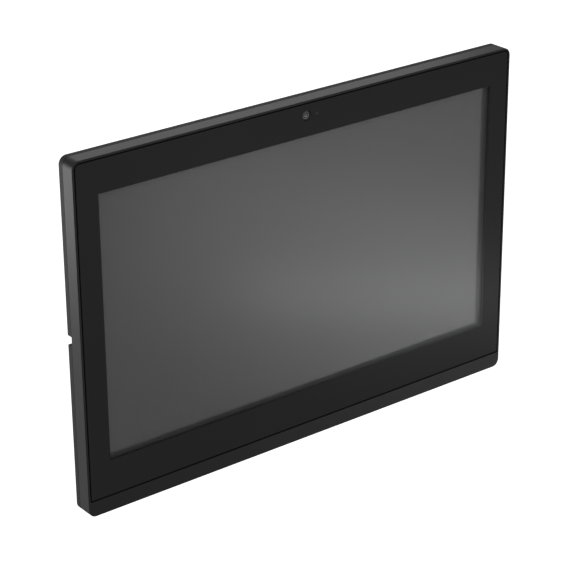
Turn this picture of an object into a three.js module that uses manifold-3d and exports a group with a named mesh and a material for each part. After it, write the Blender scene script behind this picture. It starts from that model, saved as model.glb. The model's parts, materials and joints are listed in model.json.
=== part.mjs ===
// A slim wall-hung smart display: a black glass front over an unlit panel, a satin frame with a bottom
// bar, a rear cover with an electronics housing, and a sheet-steel wall bracket that it lifts off.
// X runs to the viewer's right, Y away from the viewer towards the wall, and Z up. The origin is on the
// wall plane, at the middle of the bracket's rear face. Every size is in millimetres.

import * as THREE from 'three';
import { mergeVertices } from 'three/addons/utils/BufferGeometryUtils.js';
import Module from 'manifold-3d';

const wasm = await Module();
wasm.setup();

// ---------------------------------------------------------------- driving dimensions

const gap = 0.3; // between pieces that touch
const overcut = 1; // how far a cutting tool runs past the face it opens
const arcSteps = 10; // segments in a quarter-turn corner
const slotSteps = 4; // segments in a quarter of a slot's rounded end
const roundSteps = 16; // segments round a screw, boss or barrel

const housing = { width: 387, height: 264, depth: 16, corner: 6, wall: 2, rearWall: 1.8, wallGap: 1.5 };
const clearWindow = { width: 348.2, height: 197.6, below: 26.4 };
const glass = { thickness: 1.1, lip: 1.5, edgeGap: 0.9, lowerCorner: 1 };
const bottomBar = { height: 11.7, groove: 1.2, skin: 2 };
const ink = { thickness: 0.3 };
const sensorFilm = { thickness: 0.4, border: 3.9 };
const gasket = { thickness: 0.8, inset: 1.4, width: 3.6 };
const ledge = { thickness: 2, side: 5.8, top: 4.3, bottom: 4.3 };

const panel = {
  setback: 3.05, // from the glass's rear face to the panel's front
  cellThickness: 1.1,
  cellWidth: 353,
  cellBelow: 5,
  cellAbove: 1.4,
  bezelWidth: 3.2,
  bezelThickness: 0.9,
  diffuser: 0.4,
  lightGuide: 1.4,
  reflector: 0.3,
  trayFloor: 0.6,
  trayWall: 0.6,
};
const dustSeal = { width: 1.4, inset: 0.2 };
const ledStrip = { height: 2, sideInset: 8 };

const chassis = { thickness: 1, edge: 1.5, padRadius: 3, padHeight: 1.6 };
const boss = {
  radius: 3.5,
  lowerRadius: 3,
  bore: 1.5,
  proud: 0.7, // how far it stands behind the frame's rear edge
  sideX: 186.5,
  sideZ: 104,
  lowerX: 100,
  lowerZ: -126.2,
};
const screw = { radius: 1.2, headRadius: 2.6, headHeight: 1.3, hole: 1.6, boardHead: 1.2 };

const flange = { depth: 4.4 };
const sideNotch = { height: 7, reach: 6.5 };
const hump = { halfWidth: 150, bottom: -104, top: 86, depth: 17, corner: 8, wall: 2 };
const bay = { halfWidth: 62, top: 66, step: -14, hookDepth: 6 };
const vent = { count: 12, pitch: 6, width: 2.4, bottom: 48, top: 74, firstX: 74 };
const soundSlot = { count: 11, pitch: 6, width: 2.4, firstX: 78, frontY: -15, rearY: -8 };

const bracket = {
  halfWidth: 56,
  bottom: -72,
  top: 62,
  thickness: 2,
  corner: 5,
  holeSpacing: 100,
  holeRadius: 2.5,
};
const wireWindow = { halfWidth: 30, bottom: -62, top: -18, corner: 4 };
const hook = {
  x: 38,
  rows: [8, 44],
  halfWidth: 6,
  neck: 4,
  lip: 7,
  lipThickness: 2.5,
  side: 0.4,
  below: 9,
};
const hookPlate = { thickness: 1.5, halfWidth: 56, bottom: -8, top: 61 };

const board = { thickness: 1.6, inner: 66, outer: 146, bottom: -60, top: 80, screwInset: 4 };
const processor = { x: -110, z: 30, size: 15, height: 1.5 };
const heatSink = { width: 34, length: 44, base: 2, fin: 1.4, finHeight: 6.5, count: 7 };
const wirelessModule = { x: -82, z: 54, width: 18, length: 24, height: 2.4 };
const networkJack = { z: -30, width: 16, height: 13, length: 22, wall: 2, mouth: 8.4, mouthDepth: 16 };
const usbSocket = { z: -50, width: 13.2, height: 5.8, length: 18, wall: 0.6, tongue: 2, depth: 12 };
const portReach = 1.4; // how far a socket's mouth enters the bay wall
const portMargin = 0.3;
const powerTerminal = { z: -40, width: 13, height: 9.5, length: 12, entry: 3.6, depth: 7 };
const transformer = { x: 108, z: 16, width: 26, length: 28, height: 12 };
const capacitor = { radius: 5, height: 12, x: 132, rows: [-20, 40] };

const speaker = { innerX: 70, outerX: 146, bottom: -100, top: -66, height: 14, mouth: 5.4, recess: 4 };
const cone = { rimDepth: 1.7, dishDepth: 0.7 };
const cameraAt = { z: 120.9, hole: 3 };
const cameraBarrel = { radius: 3.4, bore: 2.6, boreDepth: 1.6 };
const cameraBoard = { halfWidth: 14, below: 7.4, above: 4.6, thickness: 1, behindLedge: 1.5 };
const cameraLens = { radius: 2.3, thickness: 1, crown: 0.4, shoulder: 0.13 };
const lightSensor = { x: 9, size: 3 };
const antenna = { innerX: 96, outerX: 138, bottom: 113, top: 122, thickness: 0.8 };
const microphone = {
  x: 60,
  halfWidth: 6,
  setback: 2.6,
  depth: 5,
  thickness: 1,
  can: 3,
  canHeight: 1.2,
  pinhole: 0.6,
};
const driverBoard = { left: -105, right: 45, bottom: -113.5, top: -103.5, thickness: 1 };
const touchBoard = { left: 60, right: 100 };
const ribbon = { thickness: 0.3, lcdX: -90, touchX: 80, halfWidth: 10, window: 13 };

const key = {
  width: 2.8,
  centreFromFront: 8.9,
  flange: 1,
  flangeMargin: 0.3,
  proud: 0.6,
  stub: 1.9,
  stubSize: 2,
};
const keys = [
  { name: 'power_button', z: 72, length: 14 },
  { name: 'volume_up_button', z: 42, length: 11 },
  { name: 'volume_down_button', z: 26, length: 11 },
];
const keyBoard = {
  x: 184.2,
  thickness: 1,
  width: 3.4,
  bottom: 16,
  top: 82,
  switchHeight: 2,
  switchSize: 3,
};

// ---------------------------------------------------------------- planes worked out from them

const halfWidth = housing.width / 2;
const halfHeight = housing.height / 2;
const frontY = -(housing.depth + hump.depth + housing.wallGap);
const slabRearY = frontY + housing.depth;
const humpRearY = -housing.wallGap;
const slabInnerY = slabRearY - housing.rearWall;
const flangeFrontY = slabRearY - flange.depth;
const frameRearY = flangeFrontY - gap;

const glassRearY = frontY + glass.thickness;
const inkFrontY = glassRearY + gap;
const inkRearY = inkFrontY + ink.thickness;
const behindInkY = inkRearY + gap;
const ledgeFrontY = behindInkY + gasket.thickness + gap;
const ledgeRearY = ledgeFrontY + ledge.thickness;
const panelFrontY = glassRearY + panel.setback;
const bossRearY = frameRearY + boss.proud;
const chassisFrontY = bossRearY + gap;
const chassisRearY = chassisFrontY + chassis.thickness;
const boardFrontY = chassisRearY + chassis.padHeight + gap;
const boardRearY = boardFrontY + board.thickness;
const onBoardY = boardRearY + gap;

const windowTop = halfHeight - clearWindow.below;
const windowBottom = windowTop - clearWindow.height;
const windowHalf = clearWindow.width / 2;

const pocket = {
  half: halfWidth - glass.lip,
  top: halfHeight - glass.lip,
  bottom: -halfHeight + bottomBar.height,
};
const glassEdge = {
  half: pocket.half - glass.edgeGap,
  top: pocket.top - glass.edgeGap,
  bottom: pocket.bottom + bottomBar.groove,
};
const pocketCorner = housing.corner - glass.lip;

const cell = {
  half: panel.cellWidth / 2,
  bottom: windowBottom - panel.cellBelow,
  top: windowTop + panel.cellAbove,
};
const bezel = {
  half: cell.half + gap + panel.bezelWidth,
  bottom: cell.bottom - gap - panel.bezelWidth,
  top: cell.top + gap + panel.bezelWidth,
};
const cellRearY = panelFrontY + panel.cellThickness;
const diffuserRearY = cellRearY + gap + panel.diffuser;
const guideRearY = diffuserRearY + gap + panel.lightGuide;
const reflectorRearY = guideRearY + gap + panel.reflector;
const trayRearY = reflectorRearY + gap + panel.trayFloor;
const stack = {
  half: bezel.half - panel.trayWall - gap,
  bottom: bezel.bottom + panel.trayWall + gap,
  top: bezel.top - panel.trayWall - gap,
};

const hookFloorY = humpRearY - bay.hookDepth;
const hookFloorInnerY = hookFloorY - hump.wall;
const hookPlateRearY = hookFloorInnerY - gap;
const hookPlateFrontY = hookPlateRearY - hookPlate.thickness;
const lipRearY = hookPlateFrontY - hook.side;
const lipFrontY = lipRearY - hook.lipThickness;

// ---------------------------------------------------------------- solids

/** A rectangle in X and Z with its own radius at the lower and at the upper corners. */
function outline(left, right, bottom, top, lowerRadius = 0, upperRadius = lowerRadius) {
  const shape = new THREE.Shape();
  const corner = (x, z, radius, start) => {
    if (radius > 0) {
      shape.absarc(x, z, radius, start, start + Math.PI / 2, false);
    } else {
      shape.lineTo(x, z);
    }
  };
  shape.moveTo(left + lowerRadius, bottom);
  corner(right - lowerRadius, bottom + lowerRadius, lowerRadius, -Math.PI / 2);
  corner(right - upperRadius, top - upperRadius, upperRadius, 0);
  corner(left + upperRadius, top - upperRadius, upperRadius, Math.PI / 2);
  corner(left + lowerRadius, bottom + lowerRadius, lowerRadius, Math.PI);
  return shape;
}

/** The same rectangle, symmetric about X = 0. */
function centred(half, bottom, top, lowerRadius = 0, upperRadius = lowerRadius) {
  return outline(-half, half, bottom, top, lowerRadius, upperRadius);
}

/** A flat piece: an outline in X and Z, from one depth to another. */
function plate(shape, fromY, toY, curveSegments = arcSteps) {
  const settings = { depth: toY - fromY, bevelEnabled: false, curveSegments };
  const geometry = new THREE.ExtrudeGeometry(shape, settings);
  geometry.rotateX(Math.PI / 2);
  geometry.translate(0, toY, 0);
  return geometry;
}

/** A slot with rounded ends that runs along Z: an outline in X and Y, from one height to another. */
function slotAlongZ(shape, fromZ, toZ) {
  const settings = { depth: toZ - fromZ, bevelEnabled: false, curveSegments: slotSteps };
  const geometry = new THREE.ExtrudeGeometry(shape, settings);
  geometry.translate(0, 0, fromZ);
  return geometry;
}

/** A rectangular block from its low and high corners. */
function block(x0, x1, y0, y1, z0, z1) {
  const geometry = new THREE.BoxGeometry(x1 - x0, y1 - y0, z1 - z0);
  geometry.translate((x0 + x1) / 2, (y0 + y1) / 2, (z0 + z1) / 2);
  return geometry;
}

/** A round bar along Y. */
function barAlongY(x, z, radius, fromY, toY) {
  const geometry = new THREE.CylinderGeometry(radius, radius, toY - fromY, roundSteps);
  geometry.translate(x, (fromY + toY) / 2, z);
  return geometry;
}

/** A round bar along Z. */
function barAlongZ(x, y, radius, fromZ, toZ) {
  const geometry = new THREE.CylinderGeometry(radius, radius, toZ - fromZ, roundSteps);
  geometry.rotateX(Math.PI / 2);
  geometry.translate(x, y, (fromZ + toZ) / 2);
  return geometry;
}

/** A turned piece about an axis along Y; each profile point is a radius and a depth. */
function turnedAlongY(x, z, profile) {
  const points = profile.map(([radius, y]) => new THREE.Vector2(radius, y));
  const geometry = new THREE.LatheGeometry(points, roundSteps);
  geometry.translate(x, 0, z);
  return geometry;
}

/** A closed mesh as a solid that can be joined and cut. */
function toSolid(geometry) {
  const bare = geometry.clone();
  bare.deleteAttribute('normal');
  bare.deleteAttribute('uv');
  const merged = mergeVertices(bare, 1e-4);
  return new wasm.Manifold(new wasm.Mesh({
    numProp: 3,
    vertProperties: new Float32Array(merged.attributes.position.array),
    triVerts: new Uint32Array(merged.index.array),
  }));
}

/** The solid's surface as flat-shaded geometry. */
function toGeometry(solid) {
  const mesh = solid.getMesh();
  const geometry = new THREE.BufferGeometry();
  geometry.setAttribute('position', new THREE.BufferAttribute(new Float32Array(mesh.vertProperties), 3));
  geometry.setIndex(new THREE.BufferAttribute(new Uint32Array(mesh.triVerts), 1));
  geometry.computeVertexNormals();
  return geometry;
}

function join(...geometries) {
  return toGeometry(geometries.map(toSolid).reduce((whole, next) => whole.add(next)));
}

function cut(geometry, tools) {
  return toGeometry(tools.map(toSolid).reduce((whole, tool) => whole.subtract(tool), toSolid(geometry)));
}

/** A flat ring between two outlines. */
function ring(outer, inner, fromY, toY) {
  return cut(plate(outer, fromY, toY), [plate(inner, fromY - overcut, toY + overcut)]);
}

// ---------------------------------------------------------------- finishes

const finishes = {
  satinBlack: { color: 0x2a2b2d, roughness: 0.42, metalness: 0.3 },
  mattPlastic: { color: 0x1d1e20, roughness: 0.62, metalness: 0 },
  clearGlass: { color: 0x8a8f94, roughness: 0.05, metalness: 0 },
  blackInk: { color: 0x0b0b0c, roughness: 0.5, metalness: 0 },
  panelGrey: { color: 0x4a4a4a, roughness: 0.45, metalness: 0 },
  whiteSheet: { color: 0xe8e8e6, roughness: 0.6, metalness: 0 },
  steel: { color: 0xa9acb0, roughness: 0.4, metalness: 0.9 },
  aluminium: { color: 0xc4c7ca, roughness: 0.4, metalness: 0.9 },
  circuitBoard: { color: 0x1c5a36, roughness: 0.5, metalness: 0 },
  chip: { color: 0x17181a, roughness: 0.5, metalness: 0 },
  rubber: { color: 0x101011, roughness: 0.85, metalness: 0 },
  film: { color: 0xb5762a, roughness: 0.5, metalness: 0 },
};

function materialOf(finish) {
  return new THREE.MeshStandardMaterial(finishes[finish]);
}

const smartDisplay = new THREE.Group();

function addPiece(name, geometry, finish) {
  const mesh = new THREE.Mesh(geometry, materialOf(finish));
  mesh.name = name;
  smartDisplay.add(mesh);
}

// ---------------------------------------------------------------- glass front

/** The toughened cover glass, flush with the frame's lip and 1.2 mm above the bottom bar. */
function frontGlass() {
  const upperCorner = pocketCorner - glass.edgeGap;
  const shape = centred(glassEdge.half, glassEdge.bottom, glassEdge.top, glass.lowerCorner, upperCorner);
  return plate(shape, frontY, glassRearY);
}

/** The black print behind the glass, with the clear window and the camera's hole. */
function printBorder() {
  const corners = [glass.lowerCorner, pocketCorner - glass.edgeGap];
  const outer = centred(glassEdge.half - gap, glassEdge.bottom + gap, glassEdge.top - gap, ...corners);
  const inner = centred(windowHalf, windowBottom, windowTop);
  const border = ring(outer, inner, inkFrontY, inkRearY);
  const cameraHole = barAlongY(0, cameraAt.z, cameraAt.hole, inkFrontY - overcut, inkRearY + overcut);
  return cut(border, [cameraHole]);
}

function touchSensor() {
  const { border, thickness } = sensorFilm;
  const shape = centred(windowHalf + border, windowBottom - border, windowTop + border);
  return plate(shape, behindInkY, behindInkY + thickness);
}

/** The adhesive gasket that holds the glass to the frame's ledge. */
function glassGasket() {
  const { inset, width, thickness } = gasket;
  const outer = centred(glassEdge.half - inset, glassEdge.bottom + inset, glassEdge.top - inset);
  const reach = inset + width;
  const lowerReach = ledge.bottom - bottomBar.groove;
  const inner = centred(glassEdge.half - reach, glassEdge.bottom + lowerReach, glassEdge.top - width);
  return ring(outer, inner, behindInkY, behindInkY + thickness);
}

// ---------------------------------------------------------------- frame and keys

const keyY = frontY + key.centreFromFront;
const microphoneY = frontY + microphone.setback + microphone.depth / 2;
const bossPlaces = [
  ...[-1, 1].flatMap((side) => [-1, 1].map((end) => [side * boss.sideX, end * boss.sideZ])),
  ...[-1, 1].map((side) => [side * boss.lowerX, boss.lowerZ]),
];

/** The tools that open the frame: the glass pocket, the window, the rear hollow and the bar's hollow. */
function frameHollows() {
  const innerHalf = halfWidth - housing.wall;
  const innerEnd = halfHeight - housing.wall;
  const innerCorner = housing.corner - housing.wall;
  const ledgeHalf = pocket.half - ledge.side;
  const barTop = pocket.bottom - bottomBar.skin;
  const pocketShape = centred(pocket.half, pocket.bottom, pocket.top, glass.lowerCorner, pocketCorner);
  const windowShape = centred(ledgeHalf, pocket.bottom + ledge.bottom, pocket.top - ledge.top);
  const rearShape = centred(innerHalf, -innerEnd, innerEnd, innerCorner);
  return [
    plate(pocketShape, frontY - overcut, ledgeFrontY),
    plate(windowShape, frontY - overcut, ledgeRearY + overcut),
    plate(rearShape, ledgeRearY, frameRearY + overcut),
    plate(centred(innerHalf, -innerEnd, barTop), frontY + bottomBar.skin, ledgeRearY + overcut),
  ];
}

function keySlot({ z, length }) {
  const halfLength = length / 2 + gap;
  const halfThickness = key.width / 2 + gap;
  const acrossX = [halfWidth - housing.wall - overcut, halfWidth + overcut];
  return block(...acrossX, keyY - halfThickness, keyY + halfThickness, z - halfLength, z + halfLength);
}

function frontFrame() {
  const body = plate(centred(halfWidth, -halfHeight, halfHeight, housing.corner), frontY, frameRearY);
  const shell = cut(body, frameHollows());
  const bosses = bossPlaces.map(([x, z]) => {
    const low = z === boss.lowerZ;
    const fromY = (low ? frontY + bottomBar.skin : ledgeRearY) - overcut;
    return barAlongY(x, z, low ? boss.lowerRadius : boss.radius, fromY, bossRearY);
  });
  const bores = bossPlaces.map(([x, z]) => barAlongY(x, z, boss.bore, ledgeRearY, bossRearY + overcut));
  const pinholes = [-1, 1].map((side) => {
    const bottom = -halfHeight - overcut;
    const top = -halfHeight + housing.wall + overcut;
    return barAlongZ(side * microphone.x, microphoneY, microphone.pinhole, bottom, top);
  });
  return cut(join(shell, ...bosses), [...bores, ...pinholes, ...keys.map(keySlot)]);
}

/** A side key: its cap stands in the frame's slot, and a wider flange inside keeps it there. */
function sideKey({ z, length }) {
  const wallInner = halfWidth - housing.wall;
  const flangeOuter = wallInner - gap;
  const flangeInner = flangeOuter - key.flange;
  const bar = (fromX, toX, halfDepth, halfLength) => {
    return block(fromX, toX, keyY - halfDepth, keyY + halfDepth, z - halfLength, z + halfLength);
  };
  const half = key.width / 2;
  const cap = bar(flangeInner, halfWidth + key.proud, half, length / 2);
  const rim = bar(flangeInner, flangeOuter, half + key.flangeMargin, length / 2 + key.flange);
  const stub = bar(flangeInner - key.stub, flangeInner + gap, key.stubSize / 2, key.stubSize / 2);
  return join(cap, rim, stub);
}

/** The strip of circuit board behind the keys, with one switch for each. */
function sideKeyBoard() {
  const { x, thickness, width, bottom, top, switchHeight, switchSize } = keyBoard;
  const strip = block(x, x + thickness, keyY - width / 2, keyY + width / 2, bottom, top);
  const half = switchSize / 2;
  const face = x + thickness;
  const switches = keys.map(({ z }) => {
    return block(face - gap, face + switchHeight, keyY - half, keyY + half, z - half, z + half);
  });
  return join(strip, ...switches);
}

// ---------------------------------------------------------------- panel

function lcdBezel() {
  const outer = centred(bezel.half, bezel.bottom, bezel.top);
  const inner = centred(cell.half + gap, cell.bottom - gap, cell.top + gap);
  return ring(outer, inner, panelFrontY, panelFrontY + panel.bezelThickness);
}

const behindSensorY = behindInkY + sensorFilm.thickness + gap;

/** The foam strip on the panel's edge, which closes the space behind the sensor and its ribbon. */
function dustSealRing() {
  const { inset, width } = dustSeal;
  const reach = inset + width;
  const outer = centred(bezel.half - inset, bezel.bottom + inset, bezel.top - inset);
  const inner = centred(bezel.half - reach, bezel.bottom + reach, bezel.top - reach);
  return ring(outer, inner, behindSensorY + ribbon.thickness + gap, panelFrontY - gap);
}

function sheet(thickness, rearY, lowerInset = 0) {
  const inset = panel.trayWall;
  const shape = centred(stack.half - inset, stack.bottom + inset + lowerInset, stack.top - inset);
  return plate(shape, rearY - thickness, rearY);
}

function backlightTray() {
  const wallFrontY = panelFrontY + panel.bezelThickness + gap;
  const body = plate(centred(bezel.half, bezel.bottom, bezel.top), wallFrontY, trayRearY);
  const inside = centred(stack.half, stack.bottom, stack.top);
  return cut(body, [plate(inside, wallFrontY - overcut, trayRearY - panel.trayFloor)]);
}

function ledBar() {
  const half = stack.half - ledStrip.sideInset;
  const bottom = stack.bottom + gap;
  return plate(centred(half, bottom, bottom + ledStrip.height), diffuserRearY + gap, guideRearY);
}

// ---------------------------------------------------------------- chassis and boards

const boardScrews = [-1, 1].flatMap((side) => {
  const outer = side * (board.outer - board.screwInset);
  const inner = side * (board.inner + board.screwInset);
  return [[outer, board.bottom + board.screwInset], [inner, board.top - board.screwInset]];
});

function chassisPlate() {
  const half = halfWidth - housing.wall - chassis.edge;
  const end = halfHeight - housing.wall - chassis.edge;
  const body = plate(centred(half, -end, end, housing.corner - housing.wall), chassisFrontY, chassisRearY);
  const pads = boardScrews.map(([x, z]) => {
    return barAlongY(x, z, chassis.padRadius, chassisFrontY, chassisRearY + chassis.padHeight);
  });
  const through = [chassisFrontY - overcut, chassisRearY + chassis.padHeight + overcut];
  const holes = [...bossPlaces, ...boardScrews].map(([x, z]) => barAlongY(x, z, screw.hole, ...through));
  const { lcdX, window } = ribbon;
  const ribbonWindow = outline(lcdX - window, lcdX + window, driverBoard.bottom, driverBoard.top);
  const windowBase = cell.top + panel.bezelWidth + overcut;
  const cameraWindow = centred(cameraBoard.halfWidth / 2, windowBase, cameraAt.z);
  const windows = [ribbonWindow, cameraWindow].map((shape) => plate(shape, ...through));
  return cut(join(body, ...pads), [...holes, ...windows]);
}

function circuitBoard(side) {
  const { inner, outer, bottom, top } = board;
  const left = Math.min(side * inner, side * outer);
  const body = plate(outline(left, left + outer - inner, bottom, top), boardFrontY, boardRearY);
  const through = [boardFrontY - overcut, boardRearY + overcut];
  const own = boardScrews.filter(([x]) => x * side > 0);
  return cut(body, own.map(([x, z]) => barAlongY(x, z, screw.hole, ...through)));
}

function onBoard(x, z, width, length, height, fromY = onBoardY) {
  return block(x - width / 2, x + width / 2, fromY, fromY + height, z - length / 2, z + length / 2);
}

function standingOnBoard({ x, z, width, length, height }) {
  return onBoard(x, z, width, length, height);
}

function finnedHeatSink() {
  const { width, length, base, fin, finHeight, count } = heatSink;
  const baseY = onBoardY + processor.height + gap;
  const foot = onBoard(processor.x, processor.z, width, length, base, baseY);
  const pitch = (width - fin) / (count - 1);
  const fins = Array.from({ length: count }, (_, index) => {
    const x = processor.x - width / 2 + fin / 2 + index * pitch;
    return onBoard(x, processor.z, fin, length, base + finHeight, baseY);
  });
  return join(foot, ...fins);
}

const portFaceX = bay.halfWidth + hump.wall - portReach;

/** A socket's outer block, on the left board, with its mouth in the bay's side wall. */
function portBody({ z, width, height, length }, margin = 0, reach = 0) {
  const halfZ = width / 2 + margin;
  const y0 = onBoardY - margin;
  const y1 = onBoardY + height + margin;
  return block(-portFaceX - length, -portFaceX + reach, y0, y1, z - halfZ, z + halfZ);
}

function networkSocket() {
  const { z, width, height, wall, mouth, mouthDepth } = networkJack;
  const top = onBoardY + height - wall;
  const half = width / 2 - wall;
  const hollow = block(-portFaceX - mouthDepth, -portFaceX + overcut, top - mouth, top, z - half, z + half);
  return cut(portBody(networkJack), [hollow]);
}

function serviceSocket() {
  const { z, width, height, wall, tongue, depth } = usbSocket;
  const half = width / 2 - wall;
  const back = -portFaceX - depth;
  const middle = onBoardY + height / 2;
  const inside = [onBoardY + wall, onBoardY + height - wall, z - half, z + half];
  const hollow = block(back, -portFaceX + overcut, ...inside);
  const bladeSection = [middle - tongue / 2, middle + tongue / 2, z - half + wall, z + half - wall];
  const blade = block(back - overcut, -portFaceX - wall, ...bladeSection);
  return join(cut(portBody(usbSocket), [hollow]), blade);
}

function screwTerminal() {
  const { z, width, height, length, entry, depth } = powerTerminal;
  const top = onBoardY + height;
  const body = block(portFaceX, portFaceX + length, onBoardY, top, z - width / 2, z + width / 2);
  const middle = onBoardY + height / 2;
  const half = entry / 2;
  const entries = [-1, 1].map((side) => {
    const at = z + side * width / 4;
    const acrossX = [portFaceX - overcut, portFaceX + depth];
    return block(...acrossX, middle - half, middle + half, at - half, at + half);
  });
  return cut(body, entries);
}

// ---------------------------------------------------------------- speakers, camera, radio, microphones

const speakerY = chassisRearY + gap + chassis.padHeight;

function speakerBox(side) {
  const { innerX, outerX, bottom, top, height, mouth, recess } = speaker;
  const left = Math.min(side * innerX, side * outerX);
  const body = block(left, left + outerX - innerX, speakerY, speakerY + height, bottom, top);
  const middle = side * (innerX + outerX) / 2;
  const well = barAlongZ(middle, speakerY + height / 2, mouth, bottom - overcut, bottom + recess);
  return cut(body, [well]);
}

/** The driver's cone, a shallow dish set in the box's mouth. */
function speakerCone(side) {
  const { innerX, outerX, bottom, height, mouth, recess } = speaker;
  const { rimDepth, dishDepth } = cone;
  const radius = mouth - gap;
  const depth = recess - gap;
  const profile = [[0, 0], [radius, 0], [radius, rimDepth], [radius / 2, dishDepth], [0, rimDepth]];
  const points = profile.map(([r, y]) => new THREE.Vector2(r, y));
  const geometry = new THREE.LatheGeometry(points, roundSteps);
  geometry.rotateX(-Math.PI / 2);
  geometry.translate(side * (innerX + outerX) / 2, speakerY + height / 2, bottom + depth);
  return geometry;
}

const cameraBoardY = ledgeRearY + cameraBoard.behindLedge;
const barrelRearY = cameraBoardY - gap;

function cameraModuleBoard() {
  const { halfWidth: half, below, above, thickness } = cameraBoard;
  return block(-half, half, cameraBoardY, cameraBoardY + thickness, cameraAt.z - below, cameraAt.z + above);
}

function cameraHousing() {
  const { radius, bore, boreDepth } = cameraBarrel;
  const body = barAlongY(0, cameraAt.z, radius, behindInkY, barrelRearY);
  return cut(body, [barAlongY(0, cameraAt.z, bore, behindInkY - overcut, behindInkY + boreDepth)]);
}

function lensDisc() {
  const { radius, thickness, crown, shoulder } = cameraLens;
  const rear = behindInkY + cameraBarrel.boreDepth - gap;
  const front = rear - thickness;
  const face = [[0, front], [radius / 2, front + shoulder], [radius, front + crown]];
  return turnedAlongY(0, cameraAt.z, [...face, [radius, rear], [0, rear]]);
}

function lightSensorBody() {
  const half = lightSensor.size / 2;
  const across = [lightSensor.x - half, lightSensor.x + half];
  return block(...across, behindInkY, barrelRearY, cameraAt.z - half, cameraAt.z + half);
}

function radioAntenna(side) {
  const left = Math.min(side * antenna.innerX, side * antenna.outerX);
  const right = left + antenna.outerX - antenna.innerX;
  return block(left, right, cameraBoardY, cameraBoardY + antenna.thickness, antenna.bottom, antenna.top);
}

function microphoneBoard(side) {
  const { x, halfWidth: half, depth, thickness, can, canHeight } = microphone;
  const floor = -halfHeight + housing.wall + gap;
  const stripTop = floor + thickness;
  const centre = side * x;
  const frontEdge = microphoneY - depth / 2;
  const strip = block(centre - half, centre + half, frontEdge, frontEdge + depth, floor, stripTop);
  const canFront = microphoneY - can / 2;
  const canTop = stripTop + canHeight;
  const cover = block(centre - can / 2, centre + can / 2, canFront, canFront + can, floor, canTop);
  return join(strip, cover);
}

// ---------------------------------------------------------------- panel electronics and ribbons

/** A flat cable: a path in Y and Z with square bends, at a given X and width. */
function flatCable(path, x) {
  const half = ribbon.thickness / 2;
  const legs = path.slice(1).map(([y, z], index) => {
    const [fromY, fromZ] = path[index];
    const low = [Math.min(y, fromY) - half, Math.min(z, fromZ) - half];
    const high = [Math.max(y, fromY) + half, Math.max(z, fromZ) + half];
    return block(x - ribbon.halfWidth, x + ribbon.halfWidth, low[0], high[0], low[1], high[1]);
  });
  return join(...legs);
}

const behindChassisY = (chassisRearY + slabInnerY) / 2;
const boardsMiddleZ = (driverBoard.bottom + driverBoard.top) / 2;
const driverRearY = cameraBoardY + driverBoard.thickness;

function lcdRibbon() {
  const boardEdge = board.bottom - 2 * gap;
  const startY = driverRearY + gap + ribbon.thickness / 2;
  const path = [[startY, boardsMiddleZ], [behindChassisY, boardsMiddleZ], [behindChassisY, boardEdge]];
  return flatCable([...path, [boardRearY, boardEdge]], ribbon.lcdX);
}

function touchRibbon() {
  const y = behindSensorY + ribbon.thickness / 2;
  const end = cameraBoardY - gap - ribbon.thickness / 2;
  const sensorEdge = windowBottom - 2 * gap;
  return flatCable([[y, sensorEdge], [y, boardsMiddleZ], [end, boardsMiddleZ]], ribbon.touchX);
}

function lowerStrip(left, right) {
  return block(left, right, cameraBoardY, driverRearY, driverBoard.bottom, driverBoard.top);
}

// ---------------------------------------------------------------- rear cover

const hookSlots = [-1, 1].flatMap((side) => hook.rows.map((z) => ({ x: side * hook.x, z })));

function hookSlotTool({ x, z }, fromY, toY) {
  const half = hook.halfWidth + hook.side;
  return block(x - half, x + half, fromY, toY, z - hook.below, z + hook.neck + gap);
}

/** The bay between the two board housings: shallow behind the hooks, deep and open below them. */
function bayVolume(margin, hookY, deepY) {
  const half = bay.halfWidth + margin;
  const rear = overcut;
  const upper = block(-half, half, hookY, rear, bay.step - overcut, bay.top + margin);
  const lower = block(-half, half, deepY, rear, hump.bottom - overcut, bay.step + margin);
  return join(upper, lower);
}

function repeated({ count, pitch, firstX }, make) {
  const places = Array.from({ length: count }, (_, index) => firstX + index * pitch);
  return places.flatMap((x) => [make(-x), make(x)]);
}

function coverOpenings() {
  const rearSkin = humpRearY - hump.wall - overcut;
  const vents = repeated(vent, (x) => {
    const half = vent.width / 2;
    return plate(outline(x - half, x + half, vent.bottom, vent.top, half), rearSkin, overcut, slotSteps);
  });
  const soundSlots = repeated(soundSlot, (x) => {
    const half = soundSlot.width / 2;
    const shape = outline(x - half, x + half, soundSlot.frontY, soundSlot.rearY, half);
    return slotAlongZ(shape, hump.bottom - overcut, hump.bottom + hump.wall + overcut);
  });
  const ports = [networkJack, usbSocket].map((port) => portBody(port, portMargin, portReach + overcut));
  const { z, width, height, length } = powerTerminal;
  const halfZ = width / 2 + portMargin;
  const terminalDepth = [onBoardY - portMargin, onBoardY + height + portMargin];
  const terminalAcross = [bay.halfWidth - overcut, portFaceX + length];
  const terminalHole = block(...terminalAcross, ...terminalDepth, z - halfZ, z + halfZ);
  const notches = [-1, 1].map((side) => {
    const x = side * halfWidth;
    const inner = x - side * sideNotch.reach;
    const half = sideNotch.height / 2;
    const left = Math.min(inner, x + side * overcut);
    const right = Math.max(inner, x + side * overcut);
    return block(left, right, flangeFrontY - overcut, slabRearY + overcut, -half, half);
  });
  const throughSlab = [slabInnerY - overcut, slabRearY + overcut];
  const screwHoles = bossPlaces.map(([x, z]) => barAlongY(x, z, screw.hole, ...throughSlab));
  const throughFloor = [hookFloorInnerY - overcut, hookFloorY + overcut];
  const hooks = hookSlots.map((slot) => hookSlotTool(slot, ...throughFloor));
  return [...vents, ...soundSlots, ...ports, terminalHole, ...notches, ...screwHoles, ...hooks];
}

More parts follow.
